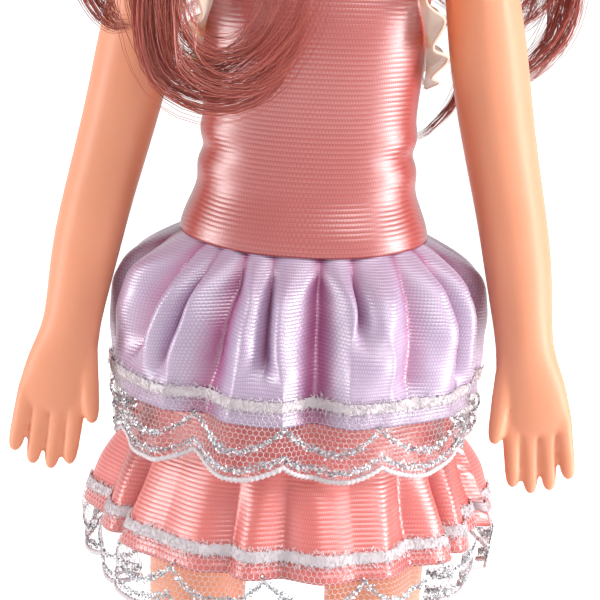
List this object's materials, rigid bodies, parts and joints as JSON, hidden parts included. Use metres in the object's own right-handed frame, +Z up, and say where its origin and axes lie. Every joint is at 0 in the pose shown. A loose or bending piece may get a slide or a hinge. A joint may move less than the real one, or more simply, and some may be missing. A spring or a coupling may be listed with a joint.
{
  "type": "fashion doll",
  "caption": "Standing child-figure fashion doll with turning head, arms and legs, long auburn curls and a coral satin dress with a gathered lilac overskirt and lace-edged tiers.",
  "frame": {"origin": "on the floor under the middle of the doll's bounding box, between the two soles", "axes": "+Z up from the soles to the crown, -Y the way the doll faces, +X towards the doll's left hand"},
  "size_m": [0.1442, 0.1094, 0.424],
  "materials": {
    "skin": "soft vinyl with a satin sheen",
    "hair": "glossy rooted fibre in loose ringlets",
    "eye": "polished insert",
    "lash": "fine dark fibre",
    "coral_satin": "ribbed satin",
    "lilac_satin": "satin",
    "lace": "white net with silver glitter scallops",
    "sheer_frill": "sheer cream organza with a bound edge",
    "fastener": "hook and loop strip",
    "shoe": "moulded, semi-gloss"
  },
  "bodies": {
    "torso": {"torso_front": "skin", "torso_back": "skin", "bodice_front": "coral_satin", "bodice_back_left": "coral_satin", "bodice_back_right": "coral_satin", "loop_strip": "fastener", "hook_strip": "fastener", "left_frill": "sheer_frill", "right_frill": "sheer_frill", "underskirt": "coral_satin", "overskirt": "lilac_satin", "underskirt_lace": "lace", "overskirt_lace": "lace"},
    "head": {"head": "skin", "hair_cap": "hair", "left_eye": "eye", "right_eye": "eye", "left_lashes": "lash", "right_lashes": "lash", "hair_front_inner": "hair", "hair_front_outer": "hair", "hair_shoulder": "hair", "hair_back_outer": "hair", "hair_back_1": "hair", "hair_back_2": "hair", "hair_back_3": "hair", "hair_back_4": "hair", "hair_back_5": "hair"},
    "left_arm": {"left_arm": "skin"},
    "right_arm": {"right_arm": "skin"},
    "left_leg": {"left_leg": "skin", "left_shoe": "shoe"},
    "right_leg": {"right_leg": "skin", "right_shoe": "shoe"}
  },
  "joints": [
    {"name": "neck_turn", "type": "hinge", "parent": "torso", "child": "head", "pos_m": [0, 0, 0.332], "axis": [0, 0, 1], "range_deg": [-75, 75], "deforming": ["hair_front_inner", "hair_front_outer", "hair_shoulder", "hair_back_outer", "hair_back_1", "hair_back_2", "hair_back_3", "hair_back_4", "hair_back_5"]},
    {"name": "left_shoulder_swing", "type": "hinge", "parent": "torso", "child": "left_arm", "pos_m": [0.0314, 0, 0.314], "axis": [-1, 0, 0], "range_deg": [-40, 160], "deforming": ["hair_back_outer", "hair_back_5"]},
    {"name": "right_shoulder_swing", "type": "hinge", "parent": "torso", "child": "right_arm", "pos_m": [-0.0314, 0, 0.314], "axis": [-1, 0, 0], "range_deg": [-40, 160], "deforming": ["hair_front_outer", "hair_shoulder", "hair_back_1"]},
    {"name": "left_hip_swing", "type": "hinge", "parent": "torso", "child": "left_leg", "pos_m": [0.0097, 0, 0.184], "axis": [-1, 0, 0], "range_deg": [-22, 22]},
    {"name": "right_hip_swing", "type": "hinge", "parent": "torso", "child": "right_leg", "pos_m": [-0.0097, 0, 0.184], "axis": [-1, 0, 0], "range_deg": [-22, 22]}
  ]
}
